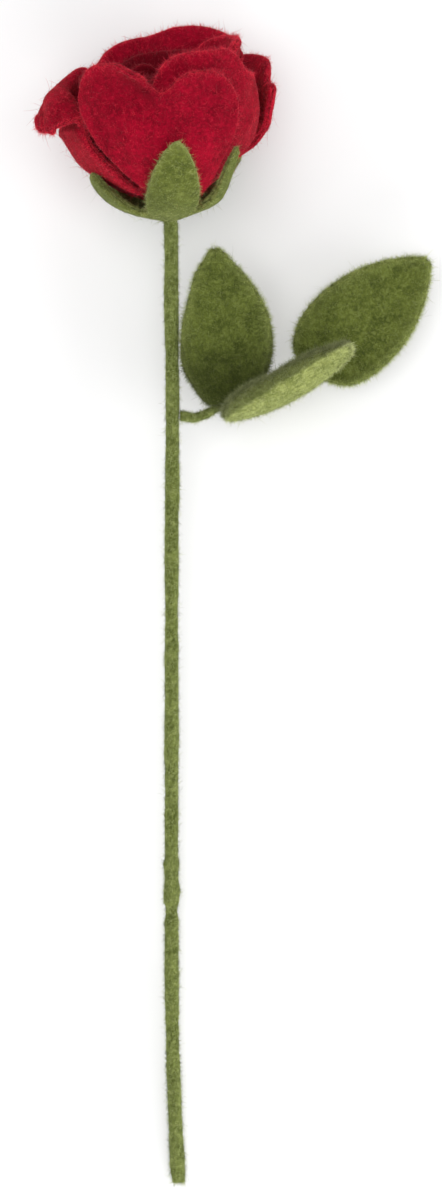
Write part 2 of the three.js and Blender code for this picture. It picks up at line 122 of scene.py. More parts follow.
PETALS = {
    "petal_outer_front": dict(
        PLAIN_PETAL,
        azimuth=-2, width=106, base_width=24, length=83.5, skew=-16, grow=1.1, notch=9, notch_at=0.06, left_lobe=4,
        right_lobe=-1.5, shoulder=15, corner=6, under=(0, 0), curl=(35, 35), lip=(10, 10),
        rolls=((-0.17, 0.17, 55, 2.2),),
        dents=((-0.24, 0.84, 0.3, 0.08, 3.0), (0.5, 0.8, 0.3, 0.1, 1.6), (-0.75, 0.6, 0.15, 0.2, 0.8)),
        # Painted shade: in the dent under the rolled lip, on the lobes and along the petal's edges
        shades=(
            (-39.5, 201.5, 3, 2.6, 0.3), (-36, 199, 3, 2.6, 0.36), (-32.5, 196.3, 3, 2.6, 0.4),
            (-29.5, 193.6, 3, 2.6, 0.32), (-45, 198, 6, 6, 0.14), (-8, 197, 9, 8, 0.18), (-2, 180, 4, 16, 0.18),
            (-47, 178, 3, 12, 0.2),
        ),
    ),
    "petal_outer_right": dict(
        PLAIN_PETAL,
        azimuth=47, width=112, base_width=84, length=87, notch=0.5, left_lobe=1, right_lobe=-13, shoulder=22,
        corner=6, under=(1, 1), curl=(10, 10), close=8,
    ),
    "petal_outer_back_right": dict(
        PLAIN_PETAL,
        azimuth=116, width=92, base_width=8, length=74.3, skew=-28, grow=1.1, notch=8, notch_at=-0.36,
        left_lobe=-8, under=(0, 0), close=-16, curl=(20, 20),
    ),
    "petal_outer_back_left": dict(
        PLAIN_PETAL,
        azimuth=174, width=103, base_width=70, length=84.5, notch=0, notch_at=-0.2, right_lobe=-3, shoulder=9,
        under=(1, 1), close=2, curl=(30, 30),
    ),
    "petal_outer_left": dict(
        PLAIN_PETAL,
        azimuth=-96, width=84, base_width=120, length=72.5, notch=2, right_lobe=2, shoulder=10, under=(0, 1),
        close=31, curl=(118, 205), lip=(6, 12), turn=4.8, follow=0.45,
        pulls=(
            (-57.5, 202, 10, 0, 4.6), (-50, 205, 10, 0, 5.2), (-66.7, 178, 6, -2, 6.6), (-76.7, 192.6, 9, 3.2, 0),
            (-46, 170, 10, 3.4, 0.5), (-65.9, 187, 5, 0, -3.2), (-70.8, 184.3, 2.6, 0, -1.5),
        ),
    ),
    "petal_middle_1": dict(MIDDLE_PETAL, azimuth=38, length=74, notch=1, close=2, curl=(10, 10)),
    "petal_middle_2": dict(MIDDLE_PETAL, azimuth=112, width=106, base_width=80, length=79, notch=0, close=-4),
    "petal_middle_3": dict(MIDDLE_PETAL, azimuth=173, base_width=76, length=76.5, notch=0, shoulder=12, close=8),
    "petal_middle_4": dict(MIDDLE_PETAL, azimuth=252, length=76),
    "petal_middle_5": dict(MIDDLE_PETAL, azimuth=326, length=77, curl=(10, 10)),
    "petal_inner_1": dict(INNER_PETAL, azimuth=0),
    "petal_inner_2": dict(INNER_PETAL, azimuth=120),
    "petal_inner_3": dict(INNER_PETAL, azimuth=240, length=79),
}

# The leaflets. heading is where the tip points, 0 along X and 90 along Y, rise lifts it, and roll turns the
# leaflet about its length. sway bows the midrib. cup and bend are the radii across and along it, and a larger
# blunt makes the tip rounder. seat is the base's place from its hinge.
LEAVES = {
    "leaf_upper": dict(
        body="upper_leaflet", length=61, width=36, hinge="node", seat=(-1, -0.4, 3.9), heading=94,
        rise=2, roll=-3, sway=4.5, cup=60, bend=400, blunt=2.1,
        pulls=((-15.4, 82.2, 8, 2.6, 0.8), (-9.1, 138.8, 10, 2.2, 0), (-17, 120, 9, 1.0, 0)),
    ),
    "leaf_end": dict(
        body="end_leaflet", length=64, width=37.5, hinge="end", seat=(1.4, 1.3, -0.3), heading=43,
        rise=2, roll=3, sway=0, cup=70, bend=500, blunt=2.1,
        pulls=((37.4, 86, 8, 0.8, 1.8),),
    ),
    "leaf_lower": dict(
        body="lower_leaflet", length=57, width=36, hinge="node", seat=(1.6, -4.7, 0), heading=8,
        rise=18, roll=-100, sway=0, cup=25, bend=75, blunt=3,
    ),
}
LEAF_BELLY = 0.38
LEAF_BASE = 0.1
LEAF_ROUND = 2.2
LEAF_TIP = 0.09
LEAF_SWELLS = ((22, 31, 0.35), (9, 32, 0.12))

# A cut edge: rows of points this far from it, the band that they fill, how far in the felt starts to round, what
# is left of its thickness at the cut, and how fast the painted light on it and its thicker down fade
EDGE_ROWS = np.array([0, 0.05, 0.2, 0.5, 1.0, 1.7])
EDGE_BAND = 2.6
EDGE_ROUND = 1.5
EDGE_LEFT = 0.16
EDGE_FADE = 1.6

# Loose wool: ranges of length and thickness, how far it lifts from along the surface (0) to straight out (1), and
# how much it curls. Down is short and straight. TABLE_GAP keeps it off the table.
SHEET_HAIRS = dict(length=(2.2, 6.5), lift=(0.02, 0.2), thick=(0.08, 0.15), curl=1.1)
SHEET_DOWN = dict(length=(0.8, 2.3), thick=(0.1, 0.15))
RIM_DOWN = dict(length=(1.2, 3.3), thick=(0.12, 0.19))
WISP_HAIRS = dict(length=(1.5, 4.6), lift=(0.5, 0.95), thick=(0.09, 0.14), sink=1.2, curl=0.6)
STEM_HAIRS = dict(length=(1.4, 4.0), lift=(0.05, 0.4), thick=(0.07, 0.12), curl=0.8)
STEM_DOWN = dict(length=(0.7, 1.8), thick=(0.09, 0.14))
FOOT_HAIRS = dict(length=(1.2, 3.4), lift=(0.5, 0.95), thick=(0.08, 0.12), sink=0.8, curl=0.5)
HAIRS_PER_AREA = 0.22
RIM_DOWN_PER_AREA = 1.7
DOWN_PER_HAIR = 7
FIBRE_RINGS = (0, 0.4, 0.75)
BEND_LIMIT = 1.3
DOWN_LEAN = 0.75
DOWN_RISE = 0.25
DOWN_SINK = 0.2
TABLE_GAP = 0.05


# Small helpers on whole arrays


def smooth(x, low, high):
    """0 below low, 1 above high and 3t*t - 2t*t*t between."""
    t = np.clip((x - low) / (high - low), 0, 1)
    return t * t * (3 - 2 * t)


def mix(a, b, t):
    """a at t = 0, b at t = 1, straight between."""
    return a + (b - a) * t


def bell(*off):
    """A bell curve, 1 in the middle: exp(-a*a - b*b) for a and b off it, in sizes of the bell."""
    return np.exp(-sum(x**2 for x in off))


def rotation(axis, degrees):
    """The matrix that turns about an axis: 0 for X, 1 for Y, 2 for Z."""
    c, s = cos(radians(degrees)), sin(radians(degrees))
    i, j = (axis + 1) % 3, (axis + 2) % 3
    matrix = np.eye(3)
    matrix[i, i] = matrix[j, j] = c
    matrix[i, j], matrix[j, i] = -s, s
    return matrix


def lumps(points, size, seed, waves=16):
    """Soft lumps about size long, mostly within -1 to 1: the sum of sine waves in random directions, over 7."""
    draw = np.random.default_rng(seed)
    ways = draw.normal(size=(3, waves))
    ways *= 2 * pi / size * draw.uniform(0.6, 1.5, waves) / np.linalg.norm(ways, axis=0)
    phases = draw.uniform(0, 2 * pi, waves)
    total = np.zeros(points.shape[:-1])
    for k in range(waves):
        total += np.sin(points @ ways[:, k] + phases[k])
    return total / 7


def smooth_route(points, step):
    """The centripetal Catmull-Rom curve through the points, sampled about every step. Between two points it is
    the cubic that leaves and arrives along tangents weighed by the square roots of the distances."""
    p = np.asarray(points, float)
    p = np.vstack([2 * p[0] - p[1], p, 2 * p[-1] - p[-2]])
    pieces = []
    for k in range(1, len(p) - 2):
        p0, p1, p2, p3 = p[k - 1 : k + 3]
        t0, t1, t2 = (sqrt(np.linalg.norm(b - a)) for a, b in ((p0, p1), (p1, p2), (p2, p3)))
        m1 = ((p1 - p0) / t0 - (p2 - p0) / (t0 + t1) + (p2 - p1) / t1) * t1
        m2 = ((p2 - p1) / t1 - (p3 - p1) / (t1 + t2) + (p3 - p2) / t2) * t1
        n = max(2, int(np.linalg.norm(p2 - p1) / step * 4))
        t = np.linspace(0, 1, n, endpoint=False)[:, None]
        pieces.append(
            p1 * (2 * t**3 - 3 * t**2 + 1) + p2 * (3 * t**2 - 2 * t**3)
            + m1 * (t**3 - 2 * t**2 + t) + m2 * (t**3 - t**2)
        )
    fine = np.vstack(pieces + [p[-2:-1]])
    along = np.concatenate([[0], np.cumsum(np.linalg.norm(np.diff(fine, axis=0), axis=1))])
    want = np.linspace(0, along[-1], max(2, int(along[-1] / step)) + 1)
    return np.stack([np.interp(want, along, fine[:, i]) for i in range(3)], 1), want


def frames(route):
    """Side and upward unit vectors along a route that mostly lies flat: side is its direction crossed with Z."""
    tangent = np.gradient(route, axis=0)
    tangent /= np.linalg.norm(tangent, axis=1, keepdims=True)
    side = np.cross(tangent, [0, 0, 1.0])
    side /= np.linalg.norm(side, axis=1, keepdims=True)
    return side, np.cross(side, tangent)


def pulled(points, pulls):
    """Points pulled sideways, as a sculptor does: each pull is a place (x, y), a reach and a move (x, y),
    and fades as exp(-d*d / reach*reach) with the distance d from its place."""
    for at_x, at_y, reach, move_x, move_y in pulls:
        near = np.exp(-((points[..., 0] - at_x) ** 2 + (points[..., 1] - at_y) ** 2) / reach**2)
        points = points + near[..., None] * [move_x, move_y, 0]
    return points


def add_mesh(name, points, faces, finish, body, nodes=(), slot=None, values=None):
    """A mesh object from arrays in millimetres. Faces all have the same corner count, and are turned round as a
    whole where the closed mesh's volume comes out negative."""
    a, b, c = (points[faces[:, k]] for k in range(3))
    inside = np.einsum("ij,ij->", a, np.cross(b, c))
    if faces.shape[1] == 4:
        d = points[faces[:, 3]]
        inside += np.einsum("ij,ij->", a, np.cross(c, d))
    if inside < 0:
        faces = faces[:, ::-1]
    mesh = bpy.data.meshes.new(name)
    mesh.vertices.add(len(points))
    mesh.vertices.foreach_set("co", (points * MM).astype(np.float32).ravel())
    mesh.loops.add(faces.size)
    mesh.loops.foreach_set("vertex_index", faces.astype(np.int32).ravel())
    mesh.polygons.add(len(faces))
    mesh.polygons.foreach_set("loop_start", np.arange(0, faces.size, faces.shape[1], dtype=np.int32))
    mesh.polygons.foreach_set("use_smooth", np.ones(len(faces), bool))
    mesh.update(calc_edges=True)
    for key, value in (values or {}).items():
        attribute = mesh.attributes.new(key, "FLOAT", "POINT")
        attribute.data.foreach_set("value", value.astype(np.float32).ravel())
    mesh.materials.append(finish)
    made = bpy.data.objects.new(name, mesh)
    bpy.context.scene.collection.objects.link(made)
    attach(made, body)
    if nodes:
        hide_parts(*nodes)
    return made


def shares(length, step):
    """Places from 0 to 1 along length: every step inside, and EDGE_ROWS near both ends."""
    near = EDGE_ROWS / length
    band = EDGE_BAND / length
    inside = np.linspace(band, 1 - band, max(3, int((length - 2 * EDGE_BAND) / step)))
    return np.concatenate([near, inside, 1 - near[::-1]])


def felt_grid(face, across, along, ring=None):
    """A closed sheet of felt. face(u, v, side) gives its two faces at side = 1 and -1. Near the cut edges both
    draw together along a quarter circle of radius EDGE_ROUND, down to EDGE_LEFT of the felt, and a strip joins
    them. across and along are its (length, step), and where it closes on itself, ring is its flat cut's width and
    length and across the count of its columns. Returns points, faces, how near the cut edge each point is from 0
    to 1, the middle face's area, and the flat cut's width and length: its widest row and longest column."""
    if ring:
        u = np.linspace(0, 1, int(across), endpoint=False)
    else:
        u = shares(*across)
    v = shares(*along)
    grid_u, grid_v = np.meshgrid(u, v, indexing="ij")
    middle = face(grid_u, grid_v, np.zeros_like(grid_u))
    steps_v = np.linalg.norm(np.diff(middle, axis=1), axis=-1)
    from_base = np.concatenate([np.zeros((len(u), 1)), np.cumsum(steps_v, 1)], 1)
    off = np.minimum(from_base, from_base[:, -1:] - from_base)
    if not ring:
        steps_u = np.linalg.norm(np.diff(middle, axis=0), axis=-1)
        from_left = np.concatenate([np.zeros((1, len(v))), np.cumsum(steps_u, 0)], 0)
        off = np.minimum(off, np.minimum(from_left, from_left[-1:] - from_left))
    drawn = np.sqrt(1 - (1 - np.clip(off / EDGE_ROUND, 0, 1)) ** 2)
    half = EDGE_LEFT + (1 - EDGE_LEFT) * drawn
    points = np.concatenate([face(grid_u, grid_v, s * half).reshape(-1, 3) for s in (1, -1)])
    n, m = len(u), len(v)
    index = np.arange(n * m).reshape(n, m)
    if ring:
        index = np.vstack([index, index[:1]])
    top = np.stack([index[:-1, :-1], index[1:, :-1], index[1:, 1:], index[:-1, 1:]], -1).reshape(-1, 4)
    other = n * m
    rims = [(index[:, 0], -1), (index[:, -1], 1)]
    if not ring:
        rims += [(index[0, :], 1), (index[-1, :], -1)]
    strips = []
    for line, way in rims:
        strip = np.stack([line[:-1], line[1:], line[1:] + other, line[:-1] + other], 1)
        strips.append(strip[:, ::-way])
    faces = np.concatenate([top, (top + other)[:, ::-1]] + strips)
    near = np.exp(-off / EDGE_FADE).reshape(-1)
    a = np.diff(middle, axis=0)[:, :-1]
    b = np.diff(middle, axis=1)[:-1]
    cells = np.linalg.norm(np.cross(a, b), axis=-1)
    widest = (cells / np.linalg.norm(b, axis=-1)).sum(0).max()
    cut = ring or (float(widest), float(from_base.max()))
    return points, faces, np.concatenate([near, near]), float(cells.sum()), cut


def surface_places(points, faces, count, draw, weight=None):
    """Random places on a mesh of quads: faces drawn by their area times weight, then a place inside each. Returns
    the places and the outward unit normals there."""
    a, b, c, d = (points[faces[:, k]] for k in range(4))
    normal = np.cross(c - a, d - b)
    area = np.linalg.norm(normal, axis=1)
    chance = area if weight is None else area * weight
    picked = draw.choice(len(faces), count, p=chance / chance.sum())
    s, t = draw.random((2, count, 1))
    place = mix(mix(a[picked], b[picked], s), mix(d[picked], c[picked], s), t)
    return place, normal[picked] / np.maximum(area[picked, None], 1e-9)


def three_sided(way, normal, draw):
    """Three unit vectors from a fibre's middle to its edges: across its way, a third of a turn apart."""
    side = np.cross(way, normal + 0.3 * draw.normal(size=way.shape))
    side /= np.linalg.norm(side, axis=1, keepdims=True)
    over = np.cross(way, side)
    return [cos(2 * pi * k / 3) * side + sin(2 * pi * k / 3) * over for k in range(3)]


def loose_fibres(place, normal, draw, length, lift, thick, sink=0.25, curl=0.5, comb=None):
    """Loose wool fibres on a surface: each is a bent three-sided spine with a point, and starts sink under its
    place. It leaves along the surface, tilted up by lift, and its end bends aside by about half curl of its length.
    comb pulls the directions towards one. Returns points and triangles."""
    n = len(place)
    along = draw.normal(size=(n, 3)) * (1 if comb is None else 0.5)
    if comb is not None:
        along += comb * draw.choice([-1.0, 1.0], (n, 1))
    along -= (along * normal).sum(1, keepdims=True) * normal
    along /= np.maximum(np.linalg.norm(along, axis=1, keepdims=True), 1e-6)
    up = draw.uniform(*lift, (n, 1))
    way = along * (1 - up) + normal * up
    way /= np.linalg.norm(way, axis=1, keepdims=True)
    long = draw.uniform(*length, (n, 1))
    bend = np.clip(draw.normal(size=(n, 3)), -BEND_LIMIT, BEND_LIMIT) * curl
    bend -= (bend * way).sum(1, keepdims=True) * way
    spokes = three_sided(way, normal, draw)
    wide = draw.uniform(*thick, (n, 1)) / 2
    root = place - normal * sink
    rings = []
    for t in FIBRE_RINGS:
        centre = root + long * (way * t + bend * t * t * 0.5)
        shrink = 1 - 0.5 * t
        rings += [centre + wide * shrink * spoke for spoke in spokes]
    rings.append(root + long * (way + bend * 0.5))
    points = np.stack(rings, 1)
    one = [[0, 2, 1]]
    for r in (0, 3):
        for k in range(3):
            j = (k + 1) % 3
            one += [[r + k, r + j, r + 3 + j], [r + k, r + 3 + j, r + 3 + k]]
    one += [[6 + k, 6 + (k + 1) % 3, 9] for k in range(3)]
    faces = (np.arange(n)[:, None, None] * 10 + np.array(one)[None]).reshape(-1, 3)
    return points.reshape(-1, 3), faces


def down(place, normal, draw, length, thick):
    """Short wool down: a three-sided spike from DOWN_SINK under each place, that leans any way but not flat.
    Returns points and triangles."""
    n = len(place)
    way = normal + DOWN_LEAN * draw.normal(size=(n, 3))
    way /= np.linalg.norm(way, axis=1, keepdims=True)
    way += normal * np.maximum(0, DOWN_RISE - (way * normal).sum(1, keepdims=True))
    spokes = three_sided(way, normal, draw)
    wide = draw.uniform(*thick, (n, 1)) / 2
    root = place - normal * DOWN_SINK
    foot = [root + wide * spoke for spoke in spokes]
    points = np.stack(foot + [root + way * draw.uniform(*length, (n, 1))], 1)
    one = np.array([[0, 2, 1], [0, 1, 3], [1, 2, 3], [2, 0, 3]])
    return points.reshape(-1, 3), (np.arange(n)[:, None, None] * 4 + one[None]).reshape(-1, 3)


def joined(*parts):
    """Several pairs of points and faces as one, with no point below TABLE_GAP."""
    base = np.cumsum([0] + [len(p) for p, _ in parts[:-1]])
    points = np.concatenate([p for p, _ in parts])
    points[:, 2] = np.maximum(points[:, 2], TABLE_GAP)
    return points, np.concatenate([f + b for (_, f), b in zip(parts, base)])


# Finishes


class Strand:
    """A shader socket in an expression: arithmetic on it adds Math nodes."""

    def __init__(self, finish, socket):
        self.finish = finish
        self.socket = socket

    def math(self, operation, *values):
        """A Math node's result for these values."""
        return self.finish.node("Math", {"operation": operation}, dict(enumerate(values)))

    def __add__(self, other):
        return self.math("ADD", self, other)

    def __sub__(self, other):
        return self.math("SUBTRACT", self, other)

    def __rsub__(self, other):
        return self.math("SUBTRACT", other, self)

    def __mul__(self, other):
        return self.math("MULTIPLY", self, other)

    def __truediv__(self, other):
        return self.math("DIVIDE", self, other)

    def __abs__(self):
        return self.math("ABSOLUTE", self)

    __radd__ = __add__
    __rmul__ = __mul__

    def atleast(self, other):
        """The larger of the two."""
        return self.math("MAXIMUM", self, other)

    def ramp(self, low, high):
        """0 below low, 1 above high, smooth between."""
        return self.finish.node(
            "MapRange", {"interpolation_type": "SMOOTHSTEP"}, {"Value": self, "From Min": low, "From Max": high}
        )


class Finish:
    """A material and its node tree."""

    def __init__(self, name):
        self.material = bpy.data.materials.new(name)
        self.material.use_nodes = True
        self.tree = self.material.node_tree
        self.tree.nodes.clear()
        self.place = self.node("TexCoord", output="Object")

    def node(self, kind, settings=None, sockets=None, output=0):
        """Add a node with its settings and its sockets' values or links, and return one of its outputs."""
        made = self.tree.nodes.new("ShaderNode" + kind)
        for key, value in (settings or {}).items():
            setattr(made, key, value)
        for key, value in (sockets or {}).items():
            if isinstance(value, Strand):
                self.tree.links.new(value.socket, made.inputs[key])
            else:
                made.inputs[key].default_value = value
        return Strand(self, made.outputs[output])

    def noise(self, size, detail=2.0, rough=0.5, bend=0.0, turn=(0, 0, 0), stretch=(1, 1, 1), shift=0.0):
        """Noise whose patches are about size millimetres, turned and stretched."""
        place = self.node("Mapping", {"vector_type": "TEXTURE"}, {
            "Vector": self.place, "Rotation": [radians(a) for a in turn], "Scale": stretch,
            "Location": (shift, shift, 0),
        })
        return self.node("TexNoise", {}, {
            "Vector": place, "Scale": 1 / (size * MM), "Detail": detail, "Roughness": rough, "Distortion": bend,
        })

    def colour(self, factor, a, b):
        """Colour a where factor is 0, b where it is 1."""
        made = self.tree.nodes.new("ShaderNodeMix")
        made.data_type = "RGBA"
        for key, value in ((0, factor), (6, a), (7, b)):
            if isinstance(value, Strand):
                self.tree.links.new(value.socket, made.inputs[key])
            else:
                made.inputs[key].default_value = (*value, 1) if key else value
        return Strand(self, made.outputs[2])

    def attribute(self, name):
        """A value that each point of the mesh carries."""
        return self.node("Attribute", {"attribute_name": name}, output="Fac")

    def principled(self, sockets):
        """A Principled shader."""
        return self.node("BsdfPrincipled", {}, sockets)

    def close(self, shader):
        """Lead the shader to the material's surface."""
        out = self.tree.nodes.new("ShaderNodeOutputMaterial")
        self.tree.links.new(shader.socket, out.inputs["Surface"])
        return self.material


def felt_finish(name, deep, body, pale, hair, grain, sheen, tint, rim=0.2, streaks=None):
    """Wool felt: soft patches and tufts between deep, body and pale, and a few fine curled hairs of the colour
    hair. grain is the size of a tuft in millimetres, and streaks the turn of combed wool. Cut edges, where edge
    is 1, are paler by rim: painted light on the rounded cut edges. Where dark is 1 the wool is a third of deep:
    painted shade."""
    finish = Finish(name)
    patches = finish.noise(grain * 8, 2, 0.6)
    tufts = finish.noise(grain * 1.7, 3, 0.6, 0.5)
    fine = finish.noise(grain * 0.5, 2, 0.6)
    across = finish.noise(grain, 2, 0.5, 0.8, (25, 40, 20), (3.2, 1, 1))
    slanting = finish.noise(grain, 2, 0.5, 0.8, (70, -20, 80), (3.2, 1, 1), 0.3)
    upward = finish.noise(grain, 2, 0.5, 0.8, (-30, 60, 140), (3.2, 1, 1), 0.7)
    mat = (across + slanting + upward) / 3
    if streaks:
        mat = mat * 0.4 + finish.noise(grain * 0.8, 2, 0.5, 0.3, streaks, (7, 1, 1), 0.5) * 0.6
    curls = finish.noise(grain * 3.4, 1, 0.4, 1.6, (0, 0, 0), (1, 1, 1), 0.1)
    curls_too = finish.noise(grain * 4.1, 1, 0.4, 1.9, (50, 0, 30), (1, 1, 1), 0.6)
    hairs = (1 - abs(curls - 0.5).ramp(0.0, 0.02)).atleast(1 - abs(curls_too - 0.47).ramp(0.0, 0.016))
    hairs = hairs * tufts.ramp(0.5, 0.66)
    tone = mat.ramp(0.4, 0.6) * 0.3 + patches.ramp(0.36, 0.64) * 0.4 + tufts.ramp(0.4, 0.6) * 0.3
    ground = finish.colour(tone, deep, body)
    # edge times rim is painted light on the cut edges; the tufts and fine noise are the felt's own tone
    lighter = tufts.ramp(0.5, 0.75) * 0.4 + fine.ramp(0.5, 0.75) * 0.25 + finish.attribute("edge") * rim
    ground = finish.colour(lighter, ground, pale)
    ground = finish.colour(hairs * 0.2, ground, hair)
    # Painted shade where the attribute dark is 1
    ground = finish.colour(finish.attribute("dark"), ground, tuple(c / 3 for c in deep))
    height = mat * 0.8 + tufts * 0.7 + fine * 0.35 + hairs * 0.1
    bump = finish.node("Bump", {}, {"Strength": 0.6, "Distance": 0.0008, "Height": height})
    return finish.close(finish.principled({
        "Base Color": ground, "Roughness": 0.95, "Normal": bump, "Specular IOR Level": 0.1,
        "Sheen Weight": sheen, "Sheen Roughness": 0.5, "Sheen Tint": (*tint, 1),
    }))


def hair_finish(name, dark, light, rim=1.8):
    """Loose wool between dark and light, changing slowly from place to place. Where edge is 1 it is nearly rim
    times light: painted light on the down at cut edges. Where the attribute dark is 1 it is a quarter of dark:
    painted shade."""
    finish = Finish(name)
    wool = finish.colour(finish.noise(2.2, 1, 0.5).ramp(0.35, 0.65), dark, light)
    # Painted light on the down at cut edges
    wool = finish.colour(finish.attribute("edge") * 0.6, wool, tuple(min(1, c * rim) for c in light))
    # Painted shade where the attribute dark is 1
    wool = finish.colour(finish.attribute("dark"), wool, tuple(c / 4 for c in dark))
    return finish.close(finish.principled({
        "Base Color": wool, "Roughness": 0.8, "Specular IOR Level": 0.2, "Sheen Weight": 0.08,
        "Sheen Roughness": 0.4,
    }))


RED_FELT = felt_finish(
    "red_felt", (0.15, 0.0003, 0.008), (0.375, 0.001, 0.02), (0.5, 0.004, 0.03), (0.85, 0.08, 0.1), 0.8,
    0.13, (0.95, 0.12, 0.06), rim=0.4,
)
# A darker copy of the red felt for the bud and for the petals inside the outer ring, except petal_middle_2: painted
# shade of the head's hollow
SHADED_RED_FELT = felt_finish(
    "red_felt_inside", (0.09, 0.0003, 0.004), (0.165, 0.0008, 0.009), (0.25, 0.002, 0.015), (0.6, 0.05, 0.06), 0.6,
    0.12, (0.95, 0.16, 0.1),
)
LEAF_FELT_FINISH = felt_finish(
    "leaf_felt", (0.042, 0.057, 0.008), (0.138, 0.17, 0.031), (0.24, 0.28, 0.078), (0.4, 0.45, 0.18), 0.75,
    0.25, (0.75, 0.85, 0.35), rim=0.7,
)
CALYX_FELT_FINISH = felt_finish(
    "calyx_felt", (0.04, 0.055, 0.008), (0.135, 0.162, 0.028), (0.25, 0.285, 0.07), (0.45, 0.5, 0.2), 0.85,
    0.25, (0.8, 0.9, 0.35), rim=0.7,
)
# A lighter copy of the leaf felt, with combed streaks, for the lower leaflet that stands on its edge: painted side
# light and sheen
PAINTED_LIGHT_LEAF_FELT = felt_finish(
    "leaf_felt_combed", (0.09, 0.115, 0.018), (0.31, 0.345, 0.1), (0.52, 0.56, 0.23), (0.65, 0.7, 0.33), 0.8,
    0.3, (0.8, 0.9, 0.4), rim=0.1, streaks=(0, -18, 30),
)
STEM_WOOL_FINISH = felt_finish(
    "stem_wool", (0.06, 0.078, 0.013), (0.215, 0.255, 0.068), (0.36, 0.41, 0.145), (0.5, 0.55, 0.25), 0.75,
    0.25, (0.75, 0.85, 0.4), streaks=(0, 0, 82),
)
RED_HAIR = hair_finish("red_hair", (0.30, 0.0015, 0.016), (0.70, 0.02, 0.045))
# The darker copy's hair: painted shade
SHADED_RED_HAIR = hair_finish("inner_red_hair", (0.13, 0.0006, 0.008), (0.3, 0.008, 0.018), 1.4)
LEAF_HAIR = hair_finish("leaf_hair", (0.07, 0.09, 0.015), (0.32, 0.365, 0.11))
CALYX_HAIR = hair_finish("calyx_hair", (0.10, 0.12, 0.022), (0.38, 0.42, 0.14))
# The lighter copy's hair: painted side light and sheen
PAINTED_LIGHT_LEAF_HAIR = hair_finish("leaf_hair_painted_light", (0.17, 0.2, 0.045), (0.62, 0.67, 0.3), 1.1)
STEM_HAIR = hair_finish("stem_hair", (0.11, 0.135, 0.03), (0.46, 0.51, 0.2))


def wire_finish():
    """Drawn steel wire: fine lengthwise scratches in the roughness."""
    finish = Finish("wire_steel")
    scratches = finish.noise(0.4, 2, 0.6, 0, (0, 0, 90), (12, 1, 1))
    return finish.close(finish.principled({
        "Base Color": (0.55, 0.55, 0.56, 1), "Metallic": 1.0, "Roughness": scratches * 0.25 + 0.25,
    }))


WIRE = wire_finish()
for node in ("stem_wire", "twig_wire"):
    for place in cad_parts[node].material_slots:
        place.material = WIRE


# The flower head: one cup section for every petal and the calyx


def cup_slope(distance, sheet):
    """The section's slope, in radians, at a distance from the axis along the felt: CUP_SLOPE on the floor, an
    even bend up to upright, more by close above that, and less by curl over the last lip."""
    turned = np.clip((distance - CUP_FLAT) / CUP_BEND, 0, 1)
    closing = smooth(distance, *CLOSING)
    curl_from = sheet["length"] - sheet["lip"]
    curling = smooth(distance, curl_from, curl_from + sheet["turn"])
    slope = mix(CUP_SLOPE, 90, turned) + sheet["close"] * closing - sheet["curl"] * curling
    return np.radians(slope)


def cup_section(distance, lift, sheet):
    """Radius and height at that distance: the slope's cosine and sine summed over SECTION_STEPS midpoints, then
    lift along the normal."""
    radius = np.zeros_like(distance)
    height = np.full_like(distance, CUP_FLOOR)
    for k in range(SECTION_STEPS):
        slope = cup_slope(distance * (k + 0.5) / SECTION_STEPS, sheet)
        radius += np.cos(slope) * distance / SECTION_STEPS
        height += np.sin(slope) * distance / SECTION_STEPS
    slope = cup_slope(distance, sheet)
    return radius - lift * np.sin(slope), height + lift * np.cos(slope)


def start_distance(hole, lift):
    """Where a sheet starts, so that its edge is hole from the axis after its lift."""
    return (hole + lift * sin(radians(CUP_SLOPE))) / cos(radians(CUP_SLOPE))


def girth(angle):
    """The head's outline along its axis, to the power -8: that of a circle of HEAD_GIRTH plus that of a flat side
    at HEAD_PRESSED, away from the viewer."""
    pressed = HEAD_PRESSED / np.maximum(-np.cos(angle), 0.05)
    return (HEAD_GIRTH**-8 + pressed**-8) ** (-1 / 8)


def head_point(radius, angle, height):
    """A point of the head: angle 0 towards the viewer, a quarter turn to the right."""
    reach = radius * girth(angle)
    return np.stack([reach * np.sin(angle), -reach * np.cos(angle), height], -1)


HEAD_TURN = rotation(0, HEAD_TILT - 90) @ rotation(1, -HEAD_LEAN)
HEAD_AT = ROSE_AT + [SWAY_TOP, STEM_LENGTH, NECK_HEIGHT]
HEAD_PULLS = ((4, 215.7, 9, 2.4, 0.8), (7.9, 167.6, 9, -3.4, 0.3), (3.3, 159.9, 8, -2, 0))


def placed_head(points):
    """From the head's own axes to the rose's, with the pulls that all its sheets share."""
    return pulled(points @ HEAD_TURN.T + HEAD_AT, HEAD_PULLS)


